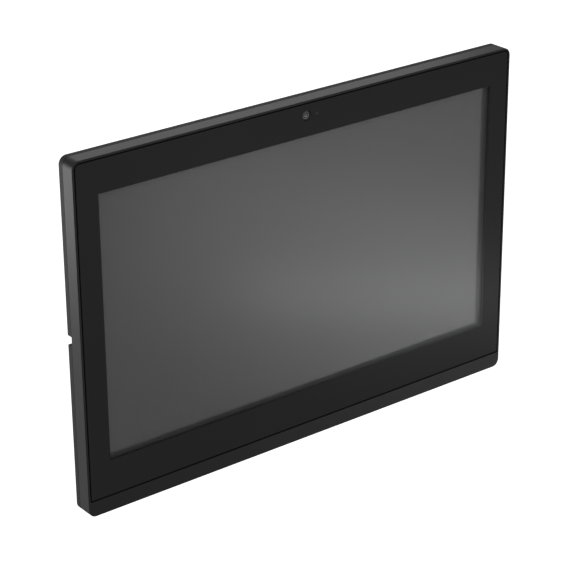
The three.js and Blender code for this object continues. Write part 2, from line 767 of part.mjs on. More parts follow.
function rearCover() {
  const { wall, corner } = hump;
  const slab = plate(centred(halfWidth, -halfHeight, halfHeight, housing.corner), flangeFrontY, slabRearY);
  const innerEnd = halfHeight - housing.wall;
  const slabInner = centred(halfWidth - housing.wall, -innerEnd, innerEnd, housing.corner - housing.wall);
  const slabHollow = plate(slabInner, flangeFrontY - overcut, slabInnerY);
  const raised = plate(centred(hump.halfWidth, hump.bottom, hump.top, corner), slabInnerY, humpRearY);
  const innerShape = centred(hump.halfWidth - wall, hump.bottom + wall, hump.top - wall, corner - wall);
  const humpHollow = plate(innerShape, slabInnerY - overcut, humpRearY - wall);
  const hollow = cut(humpHollow, [bayVolume(wall, hookFloorInnerY, slabInnerY)]);
  const shell = cut(join(slab, raised), [slabHollow, hollow, bayVolume(0, hookFloorY, slabRearY)]);
  return cut(shell, coverOpenings());
}

/** The steel plate inside the cover that the bracket's hooks carry. */
function keeperPlate() {
  const shape = centred(hookPlate.halfWidth, hookPlate.bottom, hookPlate.top);
  const body = plate(shape, hookPlateFrontY, hookPlateRearY);
  const through = [hookPlateFrontY - overcut, hookPlateRearY + overcut];
  return cut(body, hookSlots.map((slot) => hookSlotTool(slot, ...through)));
}

/** A screw with a flat round head, from its tip to the top of its head. */
function headedScrew([x, z], tip, under, headHeight) {
  const { radius, headRadius } = screw;
  const top = under + headHeight;
  const shank = [[0, tip], [radius, tip], [radius, under]];
  return turnedAlongY(x, z, [...shank, [headRadius, under], [headRadius, top], [0, top]]);
}

/** A cover screw runs through the cover into its boss in the frame. */
function coverScrew(place) {
  return headedScrew(place, ledgeRearY + gap, slabRearY + gap, screw.headHeight);
}

/** A board screw runs through a board into its pad on the chassis. */
function boardScrew(place) {
  return headedScrew(place, chassisFrontY, boardRearY + gap, screw.boardHead);
}

// ---------------------------------------------------------------- wall bracket

function wallBracket() {
  const { halfWidth: half, bottom, top, thickness, corner, holeSpacing, holeRadius } = bracket;
  const body = plate(centred(half, bottom, top, corner), -thickness, 0);
  const hooks = hookSlots.flatMap(({ x, z }) => {
    const across = [x - hook.halfWidth, x + hook.halfWidth];
    const neck = block(...across, lipFrontY, -thickness / 2, z, z + hook.neck);
    const lip = block(...across, lipFrontY, lipRearY, z, z + hook.neck + hook.lip);
    return [neck, lip];
  });
  const through = [-thickness - overcut, overcut];
  const { halfWidth: windowHalfWidth, bottom: sill, top: head, corner: windowCorner } = wireWindow;
  const window = plate(centred(windowHalfWidth, sill, head, windowCorner), ...through);
  const reach = holeSpacing / 2;
  const holes = [-1, 1].flatMap((side) => [-1, 1].map((end) => {
    return barAlongY(side * reach, end * reach, holeRadius, ...through);
  }));
  return cut(join(body, ...hooks), [window, ...holes]);
}

// ---------------------------------------------------------------- assembly

addPiece('front_glass', frontGlass(), 'clearGlass');
addPiece('print_border', printBorder(), 'blackInk');
addPiece('touch_sensor', touchSensor(), 'clearGlass');
addPiece('glass_gasket', glassGasket(), 'rubber');
addPiece('front_frame', frontFrame(), 'satinBlack');
keys.forEach((one) => addPiece(one.name, sideKey(one), 'satinBlack'));
addPiece('key_board', sideKeyBoard(), 'circuitBoard');

addPiece('dust_seal', dustSealRing(), 'rubber');
addPiece('lcd_cell', plate(centred(cell.half, cell.bottom, cell.top), panelFrontY, cellRearY), 'panelGrey');
addPiece('lcd_bezel', lcdBezel(), 'mattPlastic');
addPiece('diffuser_sheet', sheet(panel.diffuser, diffuserRearY), 'whiteSheet');
addPiece('light_guide', sheet(panel.lightGuide, guideRearY, ledStrip.height + 2 * gap), 'whiteSheet');
addPiece('reflector_sheet', sheet(panel.reflector, reflectorRearY), 'whiteSheet');
addPiece('led_strip', ledBar(), 'circuitBoard');
addPiece('backlight_tray', backlightTray(), 'aluminium');

addPiece('chassis_plate', chassisPlate(), 'steel');
addPiece('main_board', circuitBoard(-1), 'circuitBoard');
addPiece('power_board', circuitBoard(1), 'circuitBoard');
boardScrews.forEach((place, index) => addPiece(`board_screw_${index + 1}`, boardScrew(place), 'steel'));
const { x: chipX, z: chipZ, size: chipSize, height: chipHeight } = processor;
addPiece('processor', onBoard(chipX, chipZ, chipSize, chipSize, chipHeight), 'chip');
addPiece('heat_sink', finnedHeatSink(), 'aluminium');
addPiece('wireless_module', standingOnBoard(wirelessModule), 'steel');
addPiece('network_jack', networkSocket(), 'steel');
addPiece('usb_socket', serviceSocket(), 'steel');
addPiece('power_terminal', screwTerminal(), 'circuitBoard');
addPiece('transformer', standingOnBoard(transformer), 'chip');
capacitor.rows.forEach((z, index) => {
  const can = barAlongY(capacitor.x, z, capacitor.radius, onBoardY, onBoardY + capacitor.height);
  addPiece(`capacitor_${index + 1}`, can, 'aluminium');
});

[['left', -1], ['right', 1]].forEach(([hand, side]) => {
  addPiece(`speaker_box_${hand}`, speakerBox(side), 'mattPlastic');
  addPiece(`speaker_cone_${hand}`, speakerCone(side), 'rubber');
  addPiece(`antenna_${hand}`, radioAntenna(side), 'circuitBoard');
  addPiece(`microphone_${hand}`, microphoneBoard(side), 'circuitBoard');
});

addPiece('camera_board', cameraModuleBoard(), 'circuitBoard');
addPiece('camera_barrel', cameraHousing(), 'mattPlastic');
addPiece('camera_lens', lensDisc(), 'clearGlass');
addPiece('light_sensor', lightSensorBody(), 'chip');
addPiece('lcd_driver_board', lowerStrip(driverBoard.left, driverBoard.right), 'circuitBoard');
addPiece('touch_board', lowerStrip(touchBoard.left, touchBoard.right), 'circuitBoard');
addPiece('lcd_ribbon', lcdRibbon(), 'film');
addPiece('touch_ribbon', touchRibbon(), 'film');

addPiece('rear_cover', rearCover(), 'mattPlastic');
addPiece('hook_plate', keeperPlate(), 'steel');
bossPlaces.forEach((place, index) => addPiece(`cover_screw_${index + 1}`, coverScrew(place), 'steel'));
addPiece('wall_bracket', wallBracket(), 'steel');

export default smartDisplay;
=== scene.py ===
import json
import math

import bmesh
import bpy
from mathutils import Matrix, Vector


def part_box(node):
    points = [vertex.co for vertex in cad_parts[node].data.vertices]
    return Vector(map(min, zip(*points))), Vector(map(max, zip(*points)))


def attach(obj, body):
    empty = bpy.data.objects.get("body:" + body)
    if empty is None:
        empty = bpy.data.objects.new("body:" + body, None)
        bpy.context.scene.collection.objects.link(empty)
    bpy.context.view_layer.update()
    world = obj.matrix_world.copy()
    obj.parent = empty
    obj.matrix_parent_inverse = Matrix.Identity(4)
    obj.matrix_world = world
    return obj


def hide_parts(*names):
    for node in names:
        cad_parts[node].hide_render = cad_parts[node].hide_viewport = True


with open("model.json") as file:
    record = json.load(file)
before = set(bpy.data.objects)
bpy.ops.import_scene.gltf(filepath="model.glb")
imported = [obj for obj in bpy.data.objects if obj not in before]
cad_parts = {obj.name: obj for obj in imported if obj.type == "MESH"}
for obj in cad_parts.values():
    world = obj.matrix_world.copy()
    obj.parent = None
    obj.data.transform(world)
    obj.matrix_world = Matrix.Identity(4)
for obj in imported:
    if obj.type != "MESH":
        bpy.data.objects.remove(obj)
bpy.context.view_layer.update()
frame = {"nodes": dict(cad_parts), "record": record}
mm = 0.001
print("smart display: frame loaded with", len(frame["nodes"]), "nodes")


# finishes: every one is a small node tree on object coordinates

def newFinish(name, colour, roughness, metallic=0.0):
    finish = bpy.data.materials.new(name)
    finish.use_nodes = True
    shader = finish.node_tree.nodes["Principled BSDF"]
    shader.inputs["Base Color"].default_value = (*colour, 1)
    shader.inputs["Roughness"].default_value = roughness
    shader.inputs["Metallic"].default_value = metallic
    return finish, finish.node_tree, shader


def addNoise(tree, size, detail=2.0, stretch=(1, 1, 1)):
    # size is the width of one blotch or grain, in metres
    place = tree.nodes.new("ShaderNodeTexCoord")
    turn = tree.nodes.new("ShaderNodeMapping")
    turn.inputs["Scale"].default_value = stretch
    noise = tree.nodes.new("ShaderNodeTexNoise")
    noise.inputs["Scale"].default_value = 1 / size
    noise.inputs["Detail"].default_value = detail
    tree.links.new(place.outputs["Object"], turn.inputs["Vector"])
    tree.links.new(turn.outputs["Vector"], noise.inputs["Vector"])
    return noise.outputs["Fac"]


def spread(tree, source, low, high):
    # noise sits between about 0.3 and 0.7, so that span fills the range
    span = tree.nodes.new("ShaderNodeMapRange")
    span.inputs["From Min"].default_value = 0.3
    span.inputs["From Max"].default_value = 0.7
    span.inputs["To Min"].default_value = low
    span.inputs["To Max"].default_value = high
    tree.links.new(source, span.inputs["Value"])
    return span.outputs["Result"]


def tintBetween(tree, shader, source, dark, light):
    ramp = tree.nodes.new("ShaderNodeValToRGB")
    ramp.color_ramp.elements[0].position = 0.3
    ramp.color_ramp.elements[1].position = 0.7
    ramp.color_ramp.elements[0].color = (*dark, 1)
    ramp.color_ramp.elements[1].color = (*light, 1)
    tree.links.new(source, ramp.inputs["Fac"])
    tree.links.new(ramp.outputs["Color"], shader.inputs["Base Color"])


def addGrain(tree, shader, source, height, strength=1.0):
    bump = tree.nodes.new("ShaderNodeBump")
    bump.inputs["Distance"].default_value = height
    bump.inputs["Strength"].default_value = strength
    tree.links.new(source, bump.inputs["Height"])
    tree.links.new(bump.outputs["Normal"], shader.inputs["Normal"])


def grainedFinish(name, look):
    # colour drifts over the piece, gloss varies a little, and a fine grain breaks the surface up
    finish, tree, shader = newFinish(name, look["light"], look["roughness"], look.get("metallic", 0.0))
    drift = addNoise(tree, look["patch"], 3.0)
    tintBetween(tree, shader, drift, look["dark"], look["light"])
    stretch = look.get("stretch", (1, 1, 1))
    grain = addNoise(tree, look["grain"], 2.0, stretch)
    slack = look.get("glossSpread", 0.04)
    rough = spread(tree, grain, look["roughness"] - slack, look["roughness"] + slack)
    tree.links.new(rough, shader.inputs["Roughness"])
    addGrain(tree, shader, grain, look["height"], look.get("strength", 0.5))
    for socket, value in look.get("sockets", {}).items():
        shader.inputs[socket].default_value = value
    return finish


finishLooks = {
    "frameSatin": {"dark": (0.019, 0.019, 0.0194), "light": (0.022, 0.022, 0.0224), "roughness": 0.4,
                   "patch": 0.05, "grain": 0.0006, "height": 0.000006, "strength": 0.4,
                   "sockets": {"Specular IOR Level": 0.2}},
    "mouldedBlack": {"dark": (0.022, 0.022, 0.0225), "light": (0.028, 0.028, 0.0285), "roughness": 0.66,
                     "patch": 0.04, "grain": 0.0006, "height": 0.00003, "strength": 0.6,
                     "sockets": {"Specular IOR Level": 0.25}},
    "printInk": {"dark": (0.0035, 0.0035, 0.0037), "light": (0.005, 0.005, 0.0052), "roughness": 0.55,
                 "patch": 0.06, "grain": 0.0005, "height": 0.000002},
    # the glass face over the black print: the ink itself is near black, and the rest of this grey is painted
    # reflection of the surroundings, with the glass's real mirror kept weak
    "borderGloss": {"dark": (0.0275, 0.0275, 0.028), "light": (0.0295, 0.0295, 0.03), "roughness": 0.24,
                    "patch": 0.09, "grain": 0.004, "height": 0.0000004, "glossSpread": 0.004,
                    "sockets": {"Specular IOR Level": 0.05}},
    "sensorInk": {"dark": (0.004, 0.0036, 0.0036), "light": (0.005, 0.0044, 0.0044), "roughness": 0.12,
                  "patch": 0.002, "grain": 0.0003, "height": 0.000001, "glossSpread": 0.01,
                  "sockets": {"Specular IOR Level": 0.35}},
    "panelFace": {"dark": (0.074, 0.074, 0.0745), "light": (0.077, 0.077, 0.0775), "roughness": 0.21,
                  "patch": 0.08, "grain": 0.004, "height": 0.0000004, "glossSpread": 0.004,
                  "sockets": {"Specular IOR Level": 1.0}},
    # the black border round the picture area: really near black under the film, lightened almost to the
    # picture area's grey with painted light against the shade under the window's edge
    "panelBorder": {"dark": (0.072, 0.072, 0.0725), "light": (0.076, 0.076, 0.0765), "roughness": 0.22,
                    "patch": 0.05, "grain": 0.004, "height": 0.0000004, "glossSpread": 0.004,
                    "sockets": {"Specular IOR Level": 0.95}},
    "panelEdge": {"dark": (0.03, 0.035, 0.034), "light": (0.05, 0.056, 0.054), "roughness": 0.25,
                  "patch": 0.01, "grain": 0.0005, "height": 0.00001},
    # the glass's edge: partly its own dark edge, partly painted shade standing in for the shade of the
    # narrow gap under the frame's lip
    "groundEdge": {"dark": (0.002, 0.0024, 0.0023), "light": (0.003, 0.0036, 0.0034), "roughness": 0.6,
                   "patch": 0.004, "grain": 0.0002, "height": 0.00001,
                   "sockets": {"Specular IOR Level": 0.15}},
    "blackMetal": {"dark": (0.010, 0.010, 0.0105), "light": (0.015, 0.015, 0.016), "roughness": 0.45,
                   "patch": 0.03, "grain": 0.0005, "height": 0.00001},
    "whiteSheet": {"dark": (0.74, 0.74, 0.73), "light": (0.82, 0.82, 0.81), "roughness": 0.6,
                   "patch": 0.05, "grain": 0.0006, "height": 0.000005},
    "zincPlate": {"dark": (0.42, 0.43, 0.45), "light": (0.56, 0.57, 0.58), "roughness": 0.38,
                  "metallic": 1.0, "patch": 0.012, "grain": 0.0012, "height": 0.000008, "glossSpread": 0.08},
    "blackScrew": {"dark": (0.02, 0.02, 0.021), "light": (0.035, 0.035, 0.036), "roughness": 0.34,
                   "metallic": 0.9, "patch": 0.003, "grain": 0.0003, "height": 0.00001},
    "powderCoat": {"dark": (0.018, 0.018, 0.019), "light": (0.026, 0.026, 0.027), "roughness": 0.5,
                   "patch": 0.03, "grain": 0.0012, "height": 0.00006, "strength": 0.7},
    "aluminium": {"dark": (0.52, 0.53, 0.54), "light": (0.66, 0.67, 0.68), "roughness": 0.36,
                  "metallic": 1.0, "patch": 0.01, "grain": 0.0006, "height": 0.00001,
                  "stretch": (1, 1, 0.06)},
    "solderMask": {"dark": (0.006, 0.045, 0.022), "light": (0.010, 0.075, 0.036), "roughness": 0.34,
                   "patch": 0.006, "grain": 0.0008, "height": 0.00003},
    "chipPlastic": {"dark": (0.014, 0.014, 0.015), "light": (0.022, 0.022, 0.023), "roughness": 0.5,
                    "patch": 0.006, "grain": 0.0003, "height": 0.00001},
    "rubber": {"dark": (0.009, 0.009, 0.009), "light": (0.014, 0.014, 0.014), "roughness": 0.82,
               "patch": 0.01, "grain": 0.0004, "height": 0.00003},
    "amberFilm": {"dark": (0.33, 0.15, 0.03), "light": (0.42, 0.21, 0.05), "roughness": 0.35,
                  "patch": 0.01, "grain": 0.0007, "height": 0.00001, "stretch": (1, 0.05, 0.05)},
    "goldContact": {"dark": (0.75, 0.52, 0.2), "light": (0.85, 0.62, 0.28), "roughness": 0.25,
                    "metallic": 1.0, "patch": 0.003, "grain": 0.0004, "height": 0.000005},
    "lensRing": {"dark": (0.14, 0.14, 0.142), "light": (0.18, 0.18, 0.182), "roughness": 0.42,
                 "patch": 0.001, "grain": 0.0002, "height": 0.000004},
    "lensGlass": {"dark": (0.05, 0.05, 0.055), "light": (0.065, 0.065, 0.07), "roughness": 0.09,
                  "patch": 0.003, "grain": 0.0005, "height": 0.000001, "glossSpread": 0.01,
                  "sockets": {"Specular IOR Level": 0.9}},
    "sleeveVinyl": {"dark": (0.012, 0.014, 0.03), "light": (0.018, 0.02, 0.042), "roughness": 0.32,
                    "patch": 0.004, "grain": 0.0006, "height": 0.00002},
    "ferrite": {"dark": (0.03, 0.03, 0.031), "light": (0.05, 0.05, 0.051), "roughness": 0.6,
                "patch": 0.004, "grain": 0.0004, "height": 0.00003},
    "phosphor": {"dark": (0.72, 0.6, 0.2), "light": (0.8, 0.7, 0.3), "roughness": 0.4,
                 "patch": 0.002, "grain": 0.0003, "height": 0.00001},
    "ceramic": {"dark": (0.3, 0.22, 0.15), "light": (0.42, 0.32, 0.22), "roughness": 0.5,
                "patch": 0.001, "grain": 0.0003, "height": 0.00001},
    "paperCone": {"dark": (0.012, 0.012, 0.012), "light": (0.024, 0.024, 0.023), "roughness": 0.75,
                  "patch": 0.002, "grain": 0.0003, "height": 0.00004},
}
finishes = {name: grainedFinish(name, look) for name, look in finishLooks.items()}


clearLooks = {
    "clearGlass": {"index": 1.22, "roughness": 0.24},  # an etched glare-free face gives a soft reflection
    "touchFilm": {"index": 1.12, "roughness": 0.15},
}


def clearFinish(name, index, roughness):
    # a clear sheet: what it doesn't mirror at its front face passes straight through
    finish, tree, shader = newFinish(name, (0.96, 0.97, 0.97), roughness, 1.0)
    mirror = tree.nodes.new("ShaderNodeFresnel")
    mirror.inputs["IOR"].default_value = index
    side = tree.nodes.new("ShaderNodeNewGeometry")
    front = tree.nodes.new("ShaderNodeMath")
    front.operation = "SUBTRACT"
    front.inputs[0].default_value = 1.0
    share = tree.nodes.new("ShaderNodeMath")
    share.operation = "MULTIPLY"
    tree.links.new(side.outputs["Backfacing"], front.inputs[1])
    tree.links.new(mirror.outputs["Fac"], share.inputs[0])
    tree.links.new(front.outputs["Value"], share.inputs[1])
    tree.links.new(share.outputs["Value"], shader.inputs["Alpha"])
    return finish


for clearName, look in clearLooks.items():
    finishes[clearName] = clearFinish(clearName, look["index"], look["roughness"])
print("smart display:", len(finishes), "finishes")


# mesh helpers

meshing = {"sharpest": 62, "weldGap": 0.002 * mm, "flatAngle": 0.6, "roundAngle": 40, "onFace": 0.05 * mm,
           "sideReach": 0.14, "topReach": 0.08}


def finishPiece(name, mesh, finishNames, body, replaced):
    # smooth faces with true edges, and flat faces that stay flat beside their rounded edges
    mesh.name = name
    piece = bpy.data.objects.new(name, mesh)
    bpy.context.scene.collection.objects.link(piece)
    if mesh.materials:
        mesh.materials.clear()  # only geometry nodes leave a finish; clearing resets which face has which
    for finishName in finishNames:
        mesh.materials.append(finishes[finishName])
    mesh.shade_smooth()
    mesh.set_sharp_from_angle(angle=math.radians(meshing["sharpest"]))
    weights = piece.modifiers.new("flatFaces", "WEIGHTED_NORMAL")
    weights.keep_sharp = True
    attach(piece, body)
    if replaced:
        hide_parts(*replaced)
    return piece


def plainName(node):
    first, *rest = node.split("_")
    return first + "".join(word.capitalize() for word in rest)


def weldedCopy(node):
    # the node's loose triangles as one closed mesh of flat faces
    work = bmesh.new()
    work.from_mesh(frame["nodes"][node].data)
    bmesh.ops.remove_doubles(work, verts=work.verts, dist=meshing["weldGap"])
    bmesh.ops.dissolve_limit(work, angle_limit=math.radians(meshing["flatAngle"]), verts=work.verts,
                             edges=work.edges)
    return work


def edgeAngle(edge):
    return edge.calc_face_angle(0.0) if len(edge.link_faces) == 2 else 0.0


def roundEdges(work, width, segments, choose):
    chosen = [e for e in work.edges if edgeAngle(e) > math.radians(meshing["roundAngle"]) and choose(e)]
    bmesh.ops.bevel(work, geom=chosen, offset=width, offset_type="OFFSET", segments=segments, profile=0.5,
                    affect="EDGES", clamp_overlap=True)


def anyEdge(edge):
    return True


def meshFrom(work, name):
    mesh = bpy.data.meshes.new(name)
    work.to_mesh(mesh)
    work.free()
    return mesh


def rimAt(depth, facing):
    # chooses the outline edges of a flat face at that depth, on walls that face away from the middle
    def choose(edge):
        if any(abs(v.co.y - depth) > meshing["onFace"] for v in edge.verts):
            return False
        walls = [f for f in edge.link_faces if abs(f.normal.y) < 0.3]
        lids = [f for f in edge.link_faces if f.normal.y * facing > 0.9]
        if len(walls) != 1 or len(lids) != 1:
            return False
        middle = (edge.verts[0].co + edge.verts[1].co) / 2
        away = walls[0].normal
        farOut = (abs(away.x) * abs(middle.x) > meshing["sideReach"] or
                  abs(away.z) * abs(middle.z) > meshing["topReach"])
        return away.x * middle.x + away.z * middle.z > 0 and farOut
    return choose


# outlines and shells built from rings of points

def circle(x, z, radius, depth, count):
    turns = [2 * math.pi * at / count for at in range(count)]
    return [Vector((x + radius * math.cos(a), depth, z + radius * math.sin(a))) for a in turns]


def rectangle(left, right, bottom, top, depth):
    return [Vector((left, depth, bottom)), Vector((right, depth, bottom)),
            Vector((right, depth, top)), Vector((left, depth, top))]


def nestedShell(loops, finishOfStep):
    # a closed shell through loops of the same number of points, from the rear lid to the front one
    work = bmesh.new()
    rows = [[work.verts.new(point) for point in loop] for loop in loops]
    work.faces.new(rows[0])
    for step, (near, far) in enumerate(zip(rows, rows[1:])):
        for at in range(len(near)):
            nextAt = (at + 1) % len(near)
            face = work.faces.new((near[at], near[nextAt], far[nextAt], far[at]))
            face.material_index = finishOfStep[step]
    lid = work.faces.new(reversed(rows[-1]))
    lid.material_index = finishOfStep[-1]
    bmesh.ops.recalc_face_normals(work, faces=work.faces)
    return work


def turnedLoops(centre, axis, rings, count=32):
    # rings of points about a line along Y or Z; each ring is a radius, a depth and how many flats it has
    loops = []
    for radius, depth, *flats in rings:
        loop = []
        for at in range(count):
            turn = 2 * math.pi * at / count
            reach = radius
            if flats:
                flatTurn = 2 * math.pi / flats[0]
                reach = radius / math.cos(turn % flatTurn - flatTurn / 2)
            across, along = reach * math.cos(turn), reach * math.sin(turn)
            offset = (across, depth, along) if axis == "Y" else (across, along, depth)
            loop.append(Vector(centre) + Vector(offset))
        loops.append(loop)
    return loops


def turnedShell(centre, axis, rings, count=32, finishOfStep=None):
    return nestedShell(turnedLoops(centre, axis, rings, count), finishOfStep or [0] * len(rings))


def roundedBox(low, high, width, segments=2):
    loops = [rectangle(low[0], high[0], low[2], high[2], depth) for depth in (low[1], high[1])]
    work = nestedShell(loops, [0, 0])
    roundEdges(work, width, segments, anyEdge)
    return work


# what repeats is set out by geometry nodes from one blank

treeParts = {"turnSteps": 24, "squareSteps": 4, "mostPerArea": 60000}


def newTree(name, inputs):
    tree = bpy.data.node_groups.new(name, "GeometryNodeTree")
    tree.interface.new_socket("Geometry", in_out="INPUT", socket_type="NodeSocketGeometry")
    for inputName, kind in inputs.items():
        tree.interface.new_socket(inputName, in_out="INPUT", socket_type="NodeSocket" + kind)
    tree.interface.new_socket("Geometry", in_out="OUTPUT", socket_type="NodeSocketGeometry")
    return tree, tree.nodes.new("NodeGroupInput"), tree.nodes.new("NodeGroupOutput")


def addInstances(tree, given, points):
    # the blank on every point, made real; returns the node that holds them and the one that places them
    blank = tree.nodes.new("GeometryNodeObjectInfo")
    place = tree.nodes.new("GeometryNodeInstanceOnPoints")
    real = tree.nodes.new("GeometryNodeRealizeInstances")
    tree.links.new(given.outputs["Blank"], blank.inputs["Object"])
    tree.links.new(points, place.inputs["Points"])
    tree.links.new(blank.outputs["Geometry"], place.inputs["Instance"])
    tree.links.new(place.outputs["Instances"], real.inputs["Geometry"])
    return real, place


def finishTree(tree, given, source, result):
    paint = tree.nodes.new("GeometryNodeSetMaterial")
    tree.links.new(source, paint.inputs["Geometry"])
    tree.links.new(given.outputs["Finish"], paint.inputs["Material"])
    tree.links.new(paint.outputs["Geometry"], result.inputs["Geometry"])


def addTurn(tree, given, place, steps):
    # each blank is turned about the Y axis by a whole number of steps, drawn from the seed
    draw = tree.nodes.new("FunctionNodeRandomValue")
    draw.data_type = "INT"
    draw.inputs["Min"].default_value = 0
    draw.inputs["Max"].default_value = steps - 1
    angle = tree.nodes.new("ShaderNodeMath")
    angle.operation = "MULTIPLY"
    angle.inputs[1].default_value = 2 * math.pi / steps
    about = tree.nodes.new("ShaderNodeCombineXYZ")
    drawn = next(o for o in draw.outputs if o.type == "INT")
    tree.links.new(given.outputs["Seed"], draw.inputs["Seed"])
    tree.links.new(drawn, angle.inputs[0])
    tree.links.new(angle.outputs["Value"], about.inputs["Y"])
    tree.links.new(about.outputs["Vector"], place.inputs["Rotation"])


def makeSetOutTree():
    # one blank on each given point, each turned its own way
    tree, given, result = newTree("setOut", {"Blank": "Object", "Seed": "Int", "Finish": "Material"})
    real, place = addInstances(tree, given, given.outputs["Geometry"])
    addTurn(tree, given, place, treeParts["turnSteps"])
    finishTree(tree, given, real.outputs["Geometry"], result)
    return tree


def makeRowTree():
    # blanks in an even row, joined to the given geometry
    tree, given, result = newTree("evenRow", {"Blank": "Object", "Count": "Int", "Start": "Vector",
                                              "Step": "Vector", "Finish": "Material"})
    line = tree.nodes.new("GeometryNodeMeshLine")
    line.mode = "OFFSET"
    both = tree.nodes.new("GeometryNodeJoinGeometry")
    tree.links.new(given.outputs["Count"], line.inputs["Count"])
    tree.links.new(given.outputs["Start"], line.inputs["Start Location"])
    tree.links.new(given.outputs["Step"], line.inputs["Offset"])
    real, place = addInstances(tree, given, line.outputs["Mesh"])
    tree.links.new(real.outputs["Geometry"], both.inputs["Geometry"])
    tree.links.new(given.outputs["Geometry"], both.inputs["Geometry"])
    finishTree(tree, given, both.outputs["Geometry"], result)
    return tree


def makeScatterTree():
    # blanks spread over the given faces, no two nearer than the spacing
    tree, given, result = newTree("scatter", {"Blank": "Object", "Spacing": "Float", "Seed": "Int",
                                              "Finish": "Material"})
    spots = tree.nodes.new("GeometryNodeDistributePointsOnFaces")
    spots.distribute_method = "POISSON"
    spots.inputs["Density Max"].default_value = treeParts["mostPerArea"]
    tree.links.new(given.outputs["Geometry"], spots.inputs["Mesh"])
    tree.links.new(given.outputs["Spacing"], spots.inputs["Distance Min"])
    tree.links.new(given.outputs["Seed"], spots.inputs["Seed"])
    real, place = addInstances(tree, given, spots.outputs["Points"])
    addTurn(tree, given, place, treeParts["squareSteps"])
    finishTree(tree, given, real.outputs["Geometry"], result)
    return tree


trees = {"setOut": makeSetOutTree(), "evenRow": makeRowTree(), "scatter": makeScatterTree()}


def runTree(treeName, base, blank, values):
    # the evaluated result as a plain mesh; the holder, its modifier and the blank are then removed
    tree = trees[treeName]
    holder = bpy.data.objects.new(treeName, base)
    blankHolder = bpy.data.objects.new("blank", blank)
    for thing in (holder, blankHolder):
        bpy.context.scene.collection.objects.link(thing)
    nodes = holder.modifiers.new(treeName, "NODES")
    nodes.node_group = tree
    given = {"Blank": blankHolder, **values}
    for socket in tree.interface.items_tree:
        if socket.in_out == "INPUT" and socket.name in given:
            nodes[socket.identifier] = given[socket.name]
    evaluated = holder.evaluated_get(bpy.context.evaluated_depsgraph_get())
    mesh = bpy.data.meshes.new_from_object(evaluated)
    holder.modifiers.remove(nodes)
    for thing in (holder, blankHolder):
        bpy.data.objects.remove(thing)
    return mesh


def pointsMesh(places):
    mesh = bpy.data.meshes.new("places")
    mesh.from_pydata([tuple(place) for place in places], [], [])
    return mesh


def patchMesh(patches, depth):
    # flat rectangles that face the wall, each given as left, right, bottom and top
    corners = [corner for patch in patches for corner in rectangle(*patch, depth)]
    faces = [tuple(range(4 * at, 4 * at + 4)) for at in range(len(patches))]
    mesh = bpy.data.meshes.new("patches")
    mesh.from_pydata([tuple(corner) for corner in corners], [], faces)
    return mesh


def emptyMesh():
    return bpy.data.meshes.new("nothing")


def middleOf(node):
    low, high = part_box(node)
    return (low + high) / 2


# front frame, with its lip, bottom bar and key slots

frameEdges = {"rim": 0.9 * mm, "rimSegments": 5, "edge": 0.16 * mm, "edgeSegments": 2}
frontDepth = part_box("front_frame")[0].y

work = weldedCopy("front_frame")
roundEdges(work, frameEdges["rim"], frameEdges["rimSegments"], rimAt(frontDepth, -1))
roundEdges(work, frameEdges["edge"], frameEdges["edgeSegments"], anyEdge)
finishPiece("frameShell", meshFrom(work, "frameShell"), ["frameSatin"], "display",
            ["front_frame"])


# cover glass: a glare-free front with a black surround lightened by painted reflection, a clear window, a
# camera hole and an edge darkened with painted shade of the gap by the frame's lip

glassParts = {"edge": 0.22 * mm, "segments": 3, "sensorMargin": 3.9 * mm, "cameraHole": 3.8 * mm,
              "sensorSpot": 1.3 * mm, "holePoints": 40, "onFront": 0.01 * mm}


def loopEdges(work, points):
    corners = [work.verts.new(point) for point in points]
    return [work.edges.new((corners[at - 1], corners[at])) for at in range(len(corners))]


def relayFront(work, depth, outlines):
    # lays the front face again round closed outlines, each of which gets a face of its own
    lids = [f for f in work.faces
            if f.normal.y < -0.9 and abs(f.calc_center_median().y - depth) < glassParts["onFront"]]
    rim = {e for f in lids for e in f.edges if sum(g in lids for g in e.link_faces) == 1}
    bmesh.ops.delete(work, geom=lids, context="FACES_ONLY")
    inside = {e for e in work.edges if not e.link_faces}
    bmesh.ops.delete(work, geom=list(inside - rim), context="EDGES")
    rings = [loopEdges(work, outline) for outline in outlines]
    bmesh.ops.triangle_fill(work, edges=list(rim) + [e for ring in rings for e in ring], use_beauty=True)
    own = []
    for ring in rings:
        corners = {v for e in ring for v in e.verts}
        within = [f for f in work.faces if all(v in corners for v in f.verts)]
        bmesh.ops.delete(work, geom=within, context="FACES_ONLY")
        own.append(bmesh.ops.edgeloop_fill(work, edges=ring)["faces"][0])
    bmesh.ops.recalc_face_normals(work, faces=work.faces)
    return own


sensorLow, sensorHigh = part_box("touch_sensor")
margin = glassParts["sensorMargin"]
window = (sensorLow.x + margin, sensorHigh.x - margin, sensorLow.z + margin, sensorHigh.z - margin)
lensLow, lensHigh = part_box("camera_lens")
cameraHeight = (lensLow.z + lensHigh.z) / 2

work = weldedCopy("front_glass")
roundEdges(work, glassParts["edge"], glassParts["segments"], anyEdge)
sensorMiddle = middleOf("light_sensor")
points = glassParts["holePoints"]
holes = [rectangle(*window, frontDepth),
         circle(0, cameraHeight, glassParts["cameraHole"], frontDepth, points),
         circle(sensorMiddle.x, sensorMiddle.z, glassParts["sensorSpot"], frontDepth, points)]
windowFace, cameraFace, sensorFace = relayFront(work, frontDepth, holes)
for face in work.faces:
    if face in (windowFace, cameraFace) or face.normal.y > 0.9:
        face.material_index = 0
    elif face.normal.y < -0.9:
        # the front over the print: near-black ink lifted by painted reflection; the light sensor's spot
        # keeps its own ink
        face.material_index = 3 if face == sensorFace else 2
    else:
        # the glass's edges: a dark edge with painted shade of the gap under the frame's lip
        face.material_index = 1
finishPiece("coverGlass", meshFrom(work, "coverGlass"),
            ["clearGlass", "groundEdge", "borderGloss", "sensorInk"], "display",
            ["front_glass"])


# camera: a barrel whose nose fills the hole in the print, and a domed lens

